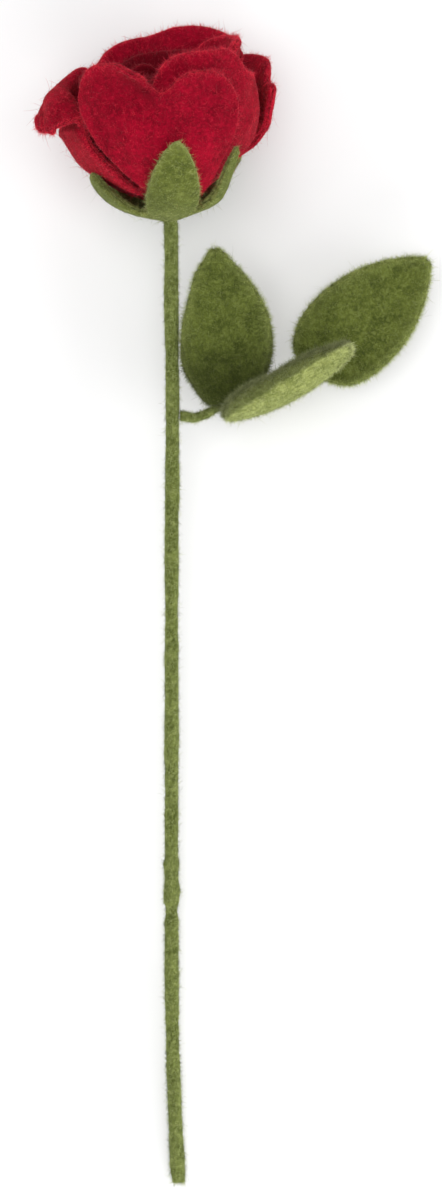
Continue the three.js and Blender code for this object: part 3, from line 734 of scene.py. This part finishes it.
def petal_face(petal):
    """A petal's face(u, v, side): u runs across it and v from the hole to the rim. Its layer changes smoothly
    from its left edge's to its right edge's, and each layer lifts it inwards by PETAL_STEP."""

    def face(u, v, side):
        """Points on the petal's middle face (side 0), its outer face (-1) or its inner face (1)."""
        across = 2 * u - 1
        from_notch = across - petal["notch_at"]
        lobe = np.where(from_notch < 0, petal["left_lobe"], petal["right_lobe"])
        notch = petal["notch"] * bell(from_notch / NOTCH_WIDTH)
        lobed = lobe * smooth(np.abs(from_notch), 0, LOBE_REACH)
        shoulder = petal["shoulder"] * np.abs(across) ** petal["corner"]
        layer = mix(*petal["under"], smooth(across, -LAYER_CHANGE, LAYER_CHANGE))
        start = start_distance(PETAL_HOLE, layer * PETAL_STEP)
        rim = petal["length"] + lobed - notch - shoulder
        curl = mix(*petal["curl"], u)
        for at_u, size_u, more_curl, more_length in petal.get("rolls", ()):
            rolled = bell((across - at_u) / size_u)
            curl = curl + more_curl * rolled
            rim = rim + more_length * rolled
        distance = mix(start, rim, v)
        lift = layer * (PETAL_STEP + PETAL_SPREAD * np.maximum(0, distance - start))
        grown = smooth(distance, start, petal["grow"] * petal["length"])
        width = mix(petal["base_width"], petal["width"], grown)
        angle = np.radians(petal["azimuth"] + petal["skew"] * (grown - 1) + across * width / 2)
        fold = petal["length"] + lobed - petal.get("follow", 0) * shoulder
        local = dict(petal, length=fold, lip=mix(*petal["lip"], u), curl=curl)
        radius, height = cup_section(distance, lift + side * PETAL_FELT / 2, local)
        points = placed_head(head_point(radius, angle, height))
        soft = smooth(distance, *SWELL_FROM)[..., None]
        swell = sum(lumps(points, size, seed) * high for size, seed, high in SWELLS)
        for at_u, at_v, size_u, size_v, depth in petal.get("dents", ()):
            swell = swell - depth * bell((across - at_u) / size_u, (v - at_v) / size_v)
        outward = np.stack([np.sin(angle), -np.cos(angle), 0 * angle], -1) @ HEAD_TURN.T
        return pulled(points + outward * soft * swell[..., None], petal.get("pulls", ()))

    return face


def calyx_face(u, v, side):
    """The calyx's face: u goes round it through the tips, and v from the hole to the rim. From a tip the rim falls
    off to CALYX_DISC by the power SEPAL_FULL of how far it is to the notch, which lies SEPAL_HALF off."""
    turn = u * SEPALS
    before = np.floor(turn).astype(int) % SEPALS
    azimuth = np.array(SEPAL_AZIMUTH + [SEPAL_AZIMUTH[0] + 360], float)
    angle = np.radians(mix(azimuth[before], azimuth[before + 1], turn - np.floor(turn)))
    sepal = np.round(turn).astype(int) % SEPALS
    half_gap = (azimuth[before + 1] - azimuth[before]) / 2
    half = np.array(SEPAL_HALF, float)[sepal]
    toward_notch = np.minimum(1, 2 * np.abs(turn - np.round(turn)) * np.maximum(1, half_gap / half))
    lift = -(PETAL_FELT / 2 + CALYX_GAP + CALYX_FELT / 2)
    start = start_distance(CALYX_HOLE / 2, lift)
    tips = np.array(SEPAL_REACH, float)[sepal]
    distance = mix(start, mix(tips, CALYX_DISC, toward_notch**SEPAL_FULL), v)
    droop = np.array(SEPAL_DROOP, float)[sepal]
    away = dict(PLAIN_PETAL, length=tips, lip=SEPAL_LIP, turn=SEPAL_LIP, curl=droop)
    radius, height = cup_section(distance, lift + side * CALYX_FELT / 2, away)
    hump = smooth(distance, 0, 12) * (1 - smooth(distance, 18, 36))
    points = head_point(radius, angle, height)
    points[..., 2] -= CALYX_SAG * hump * np.maximum(0, -np.cos(angle))
    return placed_head(points)


def bud_face(u, v, side):
    """The rolled strip: u winds BUD_TURNS turns outwards from the wire, v goes from its foot to its rim."""
    angle = u * BUD_TURNS * 2 * pi
    core = STEM_WIRE / 2 + 0.3
    strip = PETAL_FELT / 2 + u * BUD_TURNS * (PETAL_FELT + BUD_LOOSE) + side * PETAL_FELT / 2
    radius = core + strip
    top = BUD_TOP - BUD_RIM_DROP * u + BUD_RIM_WAVE * np.sin(1.6 * angle)
    height = mix(BUD_FLOOR + radius * tan(radians(CUP_SLOPE)), top, v)
    narrowed = core + strip * mix(1, BUD_TAPER, v)
    return placed_head(np.stack([narrowed * np.sin(angle), -narrowed * np.cos(angle), height], -1))


def wisp(face, v, draw, count):
    """A tuft of long fibres that leaves a sheet at the middle of its end v (0 or 1), outwards along the sheet."""
    middle, end, inner = np.array([0.42, 0.58]), np.full(2, v), np.full(2, abs(v - 0.03))
    at = face(middle, end, np.zeros(2))
    way = (at - face(middle, inner, np.zeros(2))).mean(0)
    way /= np.linalg.norm(way)
    place = mix(at[0], at[1], draw.random((count, 1))) + 0.8 * draw.normal(size=(count, 3)) * [1, 1, 0.6]
    return loose_fibres(place, np.tile(way, (count, 1)), draw, **WISP_HAIRS)


def dress_sheet(
    node, face, across, along, finish, hair, body, slot, star=None,
    fuzz=1.0, rim_fuzz=1.0, nap=3.5, dark=None, wisps=(),
):
    """One sheet of felt: its mesh and its loose wool. star is the width and length
    of the cut of a sheet that closes on itself. fuzz and rim_fuzz scale the counts of hairs and of the down on
    cut edges, and nap is how much down there is on each square millimetre of a face. dark gives darker places,
    and wisps the ends with tufts."""
    name = node + "_felt"
    points, faces, near, area, cut = felt_grid(face, across, along, star)
    fine = lumps(points, 2.6, 9) * 0.07 + lumps(points, 1.5, 10) * 0.04
    points = points + fine[:, None] * np.array([0.5, 0.5, 0.7])
    dark = dark or shade_of(())
    # The attribute edge carries painted light for the cut edges, and dark carries painted shade
    sheet = add_mesh(name, points, faces, finish, body, [node], slot, {"edge": near, "dark": dark(points)})
    draw = np.random.default_rng(hash_of(name))
    edge = near[faces].mean(1)
    hairs = surface_places(points, faces, int(area * HAIRS_PER_AREA * fuzz), draw)
    hairs = loose_fibres(*hairs, draw, **SHEET_HAIRS)
    fringe = surface_places(points, faces, int(area * RIM_DOWN_PER_AREA * rim_fuzz), draw, edge**3)
    fringe = down(*fringe, draw, **RIM_DOWN)
    short = surface_places(points, faces, int(area * 2 * nap), draw, 1 + 3 * edge)
    short = down(*short, draw, **SHEET_DOWN)
    ends = [wisp(face, v, draw, count) for v, count in wisps]
    wool, triangles = joined(hairs, short, fringe, *ends)
    # The down on the cut edges gets edge 1: painted light. Its dark repeats the sheet's painted shade
    pale = np.arange(len(wool)) >= len(hairs[0]) + len(short[0])
    values = {"dark": dark(wool), "edge": pale.astype(float)}
    fluff = add_mesh(node + "_fuzz", wool, triangles, hair, body, (), slot, values)


def hash_of(name):
    """A number from a name, the same in each run."""
    return sum((k + 1) * ord(c) for k, c in enumerate(name))


def shade_of(shades):
    """Painted shade round places (x, y): a sum of strengths, each fading over its reach in x and y."""
    return lambda places: sum(
        (
            strength * bell((places[:, 0] - x) / reach_x, (places[:, 1] - y) / reach_y)
            for x, y, reach_x, reach_y, strength in shades
        ),
        np.zeros(len(places)),
    )


for name, petal in PETALS.items():
    hidden, outer = "inner" in name, "outer" in name
    step = 1.5 if hidden else 1.05
    # About the petal's width along the felt, on a wall a little outside CUP_RADIUS
    wide = radians(petal["width"]) * (CUP_RADIUS + 10) * HEAD_GIRTH * (0.6 if hidden else 1)
    # The outer petals and petal_middle_2 get the red felt, and the rest its darker copy: painted shade
    lit = outer or name == "petal_middle_2"
    dress_sheet(
        name, petal_face(petal), (wide, step), (petal["length"], step), RED_FELT if lit else SHADED_RED_FELT,
        RED_HAIR if lit else SHADED_RED_HAIR, "rose", "red_felt", fuzz=0.3 if hidden else 1,
        nap=0.6 if hidden else 3.0 if outer else 1.7, dark=shade_of(petal.get("shades", ())),
    )
# The bud gets the darker copy of the red felt: painted shade
dress_sheet(
    "bud_core", bud_face, (75, 1.5), (24, 1.5), SHADED_RED_FELT, SHADED_RED_HAIR, "rose", "red_felt", fuzz=0.3,
    nap=0.6,
)
dress_sheet(
    "calyx_star", calyx_face, 260, (45, 0.95), CALYX_FELT_FINISH, CALYX_HAIR, "rose", "leaf_felt", star=(70, 92),
    # Painted shade, most over the left sepal
    dark=shade_of(((-46, 161, 14, 8, 0.32), (-33, 157, 9, 5, 0.2), (0, 170, 6, 12, 0.16))),
)


# The twig and the leaflets


def leaf_outline(t, blunt):
    """Half the leaf's width at t along it, as a share: a round base up to the belly, then to a blunt tip."""
    off = np.abs((LEAF_BELLY - np.minimum(t, LEAF_BELLY)) / LEAF_BELLY)
    base = mix(LEAF_BASE, 1, np.maximum(0, 1 - off**LEAF_ROUND) ** (1 / LEAF_ROUND))
    x = np.clip((t - LEAF_BELLY) / (1 - LEAF_BELLY), 0, 1)
    tip = mix(LEAF_TIP, 1, np.maximum(0, 1 - x**blunt) ** (2 / blunt))
    return np.where(t < LEAF_BELLY, base, tip)


def leaf_face(leaf, hinge):
    """A leaflet's face(u, v, side): v runs along it and u across. The flat outline is rolled about its midrib,
    bent along its length, turned and set on its hinge."""
    turned = rotation(2, leaf["heading"] - 90) @ rotation(0, leaf["rise"]) @ rotation(1, leaf["roll"])
    at = hinge + np.array(leaf["seat"])

    def face(u, v, side):
        """Points on the leaflet's middle face (side 0), its upper face (1) or its lower face (-1)."""
        t = 0.5 - 0.5 * np.cos(pi * v)
        w = leaf["width"] / 2 * leaf_outline(t, leaf["blunt"]) * (2 * u - 1) + leaf["sway"] * 4 * t * (1 - t)
        around = w / leaf["cup"]
        shell = leaf["cup"] - side * LEAF_FELT / 2
        z = leaf["cup"] - shell * np.cos(around)
        along = t * leaf["length"] / leaf["bend"]
        reach = leaf["bend"] - z
        local = np.stack([shell * np.sin(around), reach * np.sin(along), leaf["bend"] - reach * np.cos(along)], -1)
        local[..., 2] += sum(lumps(local * [1, 1, 0], size, seed) * high for size, seed, high in LEAF_SWELLS)
        return pulled(local @ turned.T + at, leaf.get("pulls", ()))

    return face


def sleeve(route, along, radius_at, sides):
    """A tube round a route: radius_at(s, angle) from the middle, with flat ends. Returns points and faces."""
    side, up = frames(route)
    angle = np.linspace(0, 2 * pi, sides, endpoint=False)
    s, a = np.meshgrid(along, angle, indexing="ij")
    radius = radius_at(s, a)[..., None]
    points = (
        route[:, None] + radius * (np.cos(a)[..., None] * side[:, None] + np.sin(a)[..., None] * up[:, None])
    ).reshape(-1, 3)
    n = len(route)
    index = np.arange(n * sides).reshape(n, sides)
    index = np.hstack([index, index[:, :1]])
    faces = np.stack([index[:-1, :-1], index[1:, :-1], index[1:, 1:], index[:-1, 1:]], -1).reshape(-1, 4)
    ends = []
    for ring, centre in ((index[0], route[0]), (index[-1][::-1], route[-1])):
        inner = np.arange(sides) + len(points)
        inner = np.append(inner, inner[0])
        outline = points[ring[:-1]]
        points = np.vstack([points, mix(outline, centre, 0.6), [centre]])
        faces = np.vstack([faces, np.stack([ring[:-1], ring[1:], inner[1:], inner[:-1]], -1)])
        middle = np.full(sides, len(points) - 1)
        ends.append(np.stack([inner[:-1], inner[1:], middle, middle], -1))
    return points, np.vstack([faces] + ends)


def wool_tube(name, route, along, radius_at, sides, body, count, comb, wisp_count=2):
    """A sleeve of felted wool round a wire, with count hairs, DOWN_PER_HAIR times as much down, and a tuft of
    wisp_count fibres at its start. Its hairs are combed along comb."""
    points, faces = sleeve(route, along, radius_at, sides)
    add_mesh(name + "_wool", points, faces, STEM_WOOL_FINISH, body, [name], "stem_wool")
    draw = np.random.default_rng(hash_of(name))
    hairs = loose_fibres(*surface_places(points, faces, count, draw), draw, comb=np.array(comb), **STEM_HAIRS)
    short = down(*surface_places(points, faces, count * DOWN_PER_HAIR, draw), draw, **STEM_DOWN)
    foot = route[0] + draw.normal(size=(wisp_count, 3)) * [1.2, 0.3, 0.6]
    way = np.tile((route[0] - route[3]) / np.linalg.norm(route[0] - route[3]), (wisp_count, 1))
    tuft = loose_fibres(foot, way, draw, **FOOT_HAIRS)
    add_mesh(name + "_fuzz", *joined(hairs, short, tuft), STEM_HAIR, body, (), "stem_wool")


def stem_rise(y):
    """The stem's middle line rises evenly from the foot to the neck."""
    return mix(FOOT_DIAMETER / 2, NECK_HEIGHT, y / STEM_LENGTH)


# The stem's middle line from above, up to the flower, and then on along the head's axis
STEM_LINE = [(2.4, 0), (1.3, 22), (0, 62), (-0.2, 150), (-0.1, 250), (0.2, 300), (-0.2, 345)]
STEM_TOP = np.array([SWAY_TOP, STEM_LENGTH, NECK_HEIGHT])
stem_points = [(x, y, stem_rise(y)) for x, y in STEM_LINE]
stem_points += [STEM_TOP + HEAD_TURN @ [0, 0, 1] * k for k in (0, 16, 34, 45)]
stem_route, stem_along = smooth_route(stem_points, 0.7)
stem_route = stem_route + ROSE_AT


def stem_lumps(s, a):
    """Small swellings along the stem, as two sine waves, and finer lumps round it."""
    place = np.stack([2.6 * np.cos(a), s, 2.6 * np.sin(a)], -1)
    waves = 0.09 * (np.sin(s / 5.3) + np.sin(s / 13.7 + 1))
    return waves + 0.16 * lumps(place, 6, 41) + 0.07 * lumps(place, 2.2, 42)


# The splice: how deep its neck is, each lobe's height, place past SPLICE and size, and the same of the nub
NECK_DEPTH = 0.62
LOBES = ((0.5, 3.6, 4), (0.36, 13.4, 3))
NUB = (0.6, 14.2, 1.2)
NUB_ROUND = 0.6
FOOT_WIDER = 0.14
LAPPED_RADIUS = 1.8


def lower_radius(s, a):
    """The lower sleeve: thin and a little wide at the foot, drawn in at a neck, then swollen in two lobes where
    it laps the upper one, with a small nub on its left. Each is a bell curve of the distance past the splice."""
    foot = FOOT_DIAMETER / 2 * (1 + FOOT_WIDER * np.cos(a) ** 2)
    plain = mix(foot, STEM_DIAMETER / 2, smooth(s, 0, 5))
    past = s - SPLICE
    neck = -NECK_DEPTH * smooth(past, -9, -3.6) * (1 - smooth(past, -3, -0.6))
    lobes = sum(high * bell((past - at) / size) for high, at, size in LOBES)
    nub = NUB[0] * bell((past - NUB[1]) / NUB[2], (a - pi) / NUB_ROUND)
    return plain + neck + lobes * smooth(past, -3, 0) + nub + stem_lumps(s, a)


def upper_radius(s, a):
    """The upper sleeve: plain, and thin where it goes into the lower one's mouth."""
    out = smooth(s - SPLICE - LAP, -3, 0.6)
    return mix(LAPPED_RADIUS, STEM_DIAMETER / 2, out) + stem_lumps(s, a)


def stretch_of(start, end):
    """The stem's route from start to end along it."""
    want = np.linspace(start, end, int((end - start) / 0.6) + 1)
    return np.stack([np.interp(want, stem_along, stem_route[:, i]) for i in range(3)], 1), want


wool_tube(
    "stem_sleeve_lower", *stretch_of(0, SPLICE + LAP), lower_radius, 36, "rose", 1700, comb=(0, 1, 0), wisp_count=40
)
wool_tube(
    "stem_sleeve_upper", *stretch_of(SPLICE + 4, STEM_LENGTH + 1), upper_radius, 36, "rose", 2600, comb=(0, 1, 0)
)

# The twig's middle line, from its hinge: from inside the stem's wool to the end leaflet, and its wool goes
# TWIG_PAST_END further along LAST_WAY. The two side leaflets share one hinge.
TWIG_PIVOT = np.array([-17.2831, 73.7852, 22.7229])
TWIG_LINE = [
    (-1.75, 0, 0), (0, 0, 0), (3, -0.7, -0.3), (8, 0.7, -1.2), (14, 4.2, -3), (30, 11.2, -8.5), (46.5, 16.3, -13),
]
LEAF_HINGES = {"node": TWIG_PIVOT + [14.9427, 4.6293, -3.3102], "end": TWIG_PIVOT + TWIG_LINE[-1]}
LAST_WAY = np.array([16, 5, -4]) / np.linalg.norm([16, 5, -4])
TWIG_PAST_END = 1.45
twig_points = TWIG_PIVOT + np.array(TWIG_LINE)
twig_points = np.vstack([twig_points, twig_points[-1] + LAST_WAY * TWIG_PAST_END])
twig_route, twig_along = smooth_route(twig_points, 0.5)

# The band of painted shade on the lower leaflet: a point of its rim, the way across it, and its width
STRIP_AT = (-4.0, 77.4)
STRIP_WAY = (0.52, -0.854)
STRIP_WIDTH = (4.4, 5.8)


def twig_radius(s, a):
    """The twig's wool: a little thicker at its root, lumpy, and full at its end."""
    place = np.stack([1.5 * np.cos(a), s, 1.5 * np.sin(a)], -1)
    plain = mix(TWIG_ROOT_DIAMETER, TWIG_DIAMETER, smooth(s, 0, 12)) / 2
    return plain + 0.12 * lumps(place, 5, 51) + 0.06 * lumps(place, 2, 52)


def base_shade(places):
    """Painted shadow of the lower leaflet on the upper leaflet: darker towards its base, most at the base, and less
    and less up to half its length.
    """
    share = (places[:, 1] - LEAF_HINGES["node"][1]) / LEAVES["leaf_upper"]["length"]
    return 0.62 * (1 - smooth(share + 0.05 * lumps(places, 9, 61), 0.12, 0.5))


def strip_shade(places):
    """Painted shade on the lower leaflet's cut edge where it faces up: a band of STRIP_WIDTH below its upper rim.
    """
    below = (places[:, 0] - STRIP_AT[0]) * STRIP_WAY[0] + (places[:, 1] - STRIP_AT[1]) * STRIP_WAY[1]
    return 0.66 * (1 - smooth(below + 0.5 * lumps(places, 4, 62), *STRIP_WIDTH))


wool_tube("twig_sleeve", twig_route, twig_along, twig_radius, 28, "twig", 700, comb=(0.9, 0.4, 0))
for name, leaf in LEAVES.items():
    # The combed lower leaflet gets the lighter copy of the leaf felt and hair: painted side light and sheen
    combed = name == "leaf_lower"
    dress_sheet(
        name, leaf_face(leaf, LEAF_HINGES[leaf["hinge"]]), (leaf["width"], 0.8), (leaf["length"], 0.8),
        PAINTED_LIGHT_LEAF_FELT if combed else LEAF_FELT_FINISH, PAINTED_LIGHT_LEAF_HAIR if combed else LEAF_HAIR,
        leaf["body"], "leaf_felt", fuzz=2.0 if combed else 1.2, rim_fuzz=2.5 if combed else 1.5,
        # Painted shadow on the upper leaflet's base and painted shade on the lower leaflet's upper cut edge
        dark={"leaf_upper": base_shade, "leaf_lower": strip_shade}.get(name),
        wisps=((0, 45), (1, 70)) if combed else ((1, 12),),
    )


# The table, the lamps and the camera, in metres and watts

CENTRE = (-3.25 * MM, 2.1 * MM)
VIEW_HEIGHT = 0.468
VIEW_AT = 0.02
CAMERA_UP = 3.0
SENSOR = 24.0
TABLE_HALF = 4.0
WHITE_SHARE = 0.22
ROOM_LIGHT = 0.45

# Each softbox: its place, its aim, its side and its power
LAMPS = {
    "top_softbox": ((-0.3, 0.3, 2.4), (0, 0, 0), 2.0, 27),
    "right_softbox": ((1.25, -0.3, 0.5), (0, 0.05, 0), 0.8, 8),
    "left_softbox": ((-1.2, 0.2, 0.45), (0, 0.05, 0), 0.9, 3.5),
    "foot_softbox": ((0.3, -1.3, 0.45), (0, 0, 0), 0.9, 11),
    "head_softbox": ((0.0, 1.4, 0.6), (0, 0.1, 0), 0.9, 3),
}


def plain_floor():
    """A large pale table top that fades into a white room. The camera sees WHITE_SHARE of plain white in it."""
    finish = Finish("pale_table")
    paper = finish.principled({"Base Color": (0.95, 0.95, 0.952, 1), "Roughness": 0.9, "Specular IOR Level": 0.1})
    white = finish.node("Emission", {}, {"Color": (1, 1, 1, 1), "Strength": 1.0})
    seen = finish.node("LightPath", output="Is Camera Ray")
    mixed = finish.node("MixShader", {}, {0: seen * WHITE_SHARE, 1: paper, 2: white})
    mesh = bpy.data.meshes.new("table_top")
    far = TABLE_HALF
    mesh.from_pydata([(-far, -far, 0), (far, -far, 0), (far, far, 0), (-far, far, 0)], [], [(0, 1, 2, 3)])
    mesh.materials.append(finish.close(mixed))
    table = bpy.data.objects.new("table_top", mesh)
    bpy.context.scene.collection.objects.link(table)


def soft_lamp(name, place, aim, size, watts):
    """A square softbox at place, turned towards aim."""
    light = bpy.data.lights.new(name, "AREA")
    light.shape = "SQUARE"
    light.size = size
    light.energy = watts
    lamp = bpy.data.objects.new(name, light)
    lamp.location = place
    lamp.rotation_euler = (Vector(aim) - Vector(place)).to_track_quat("-Z", "Y").to_euler()
    bpy.context.scene.collection.objects.link(lamp)


plain_floor()
for name, lamp in LAMPS.items():
    soft_lamp(name, *lamp)

world = bpy.data.worlds.new("white_room")
bpy.context.scene.world = world
world.use_nodes = True
room = world.node_tree.nodes["Background"]
room.inputs["Color"].default_value = (1, 1, 1, 1)
room.inputs["Strength"].default_value = ROOM_LIGHT

camera = bpy.data.cameras.new("camera")
camera.sensor_fit = "VERTICAL"
camera.sensor_height = SENSOR
camera.lens = SENSOR * (CAMERA_UP - VIEW_AT) / VIEW_HEIGHT
camera.clip_end = 20
viewer = bpy.data.objects.new("camera", camera)
viewer.location = (*CENTRE, CAMERA_UP)
bpy.context.scene.collection.objects.link(viewer)
bpy.context.scene.camera = viewer
bpy.context.scene.view_settings.view_transform = "Standard"


def plain(box):
    """A box's corners as lists of plain numbers."""
    return [[float(x) for x in corner] for corner in box]
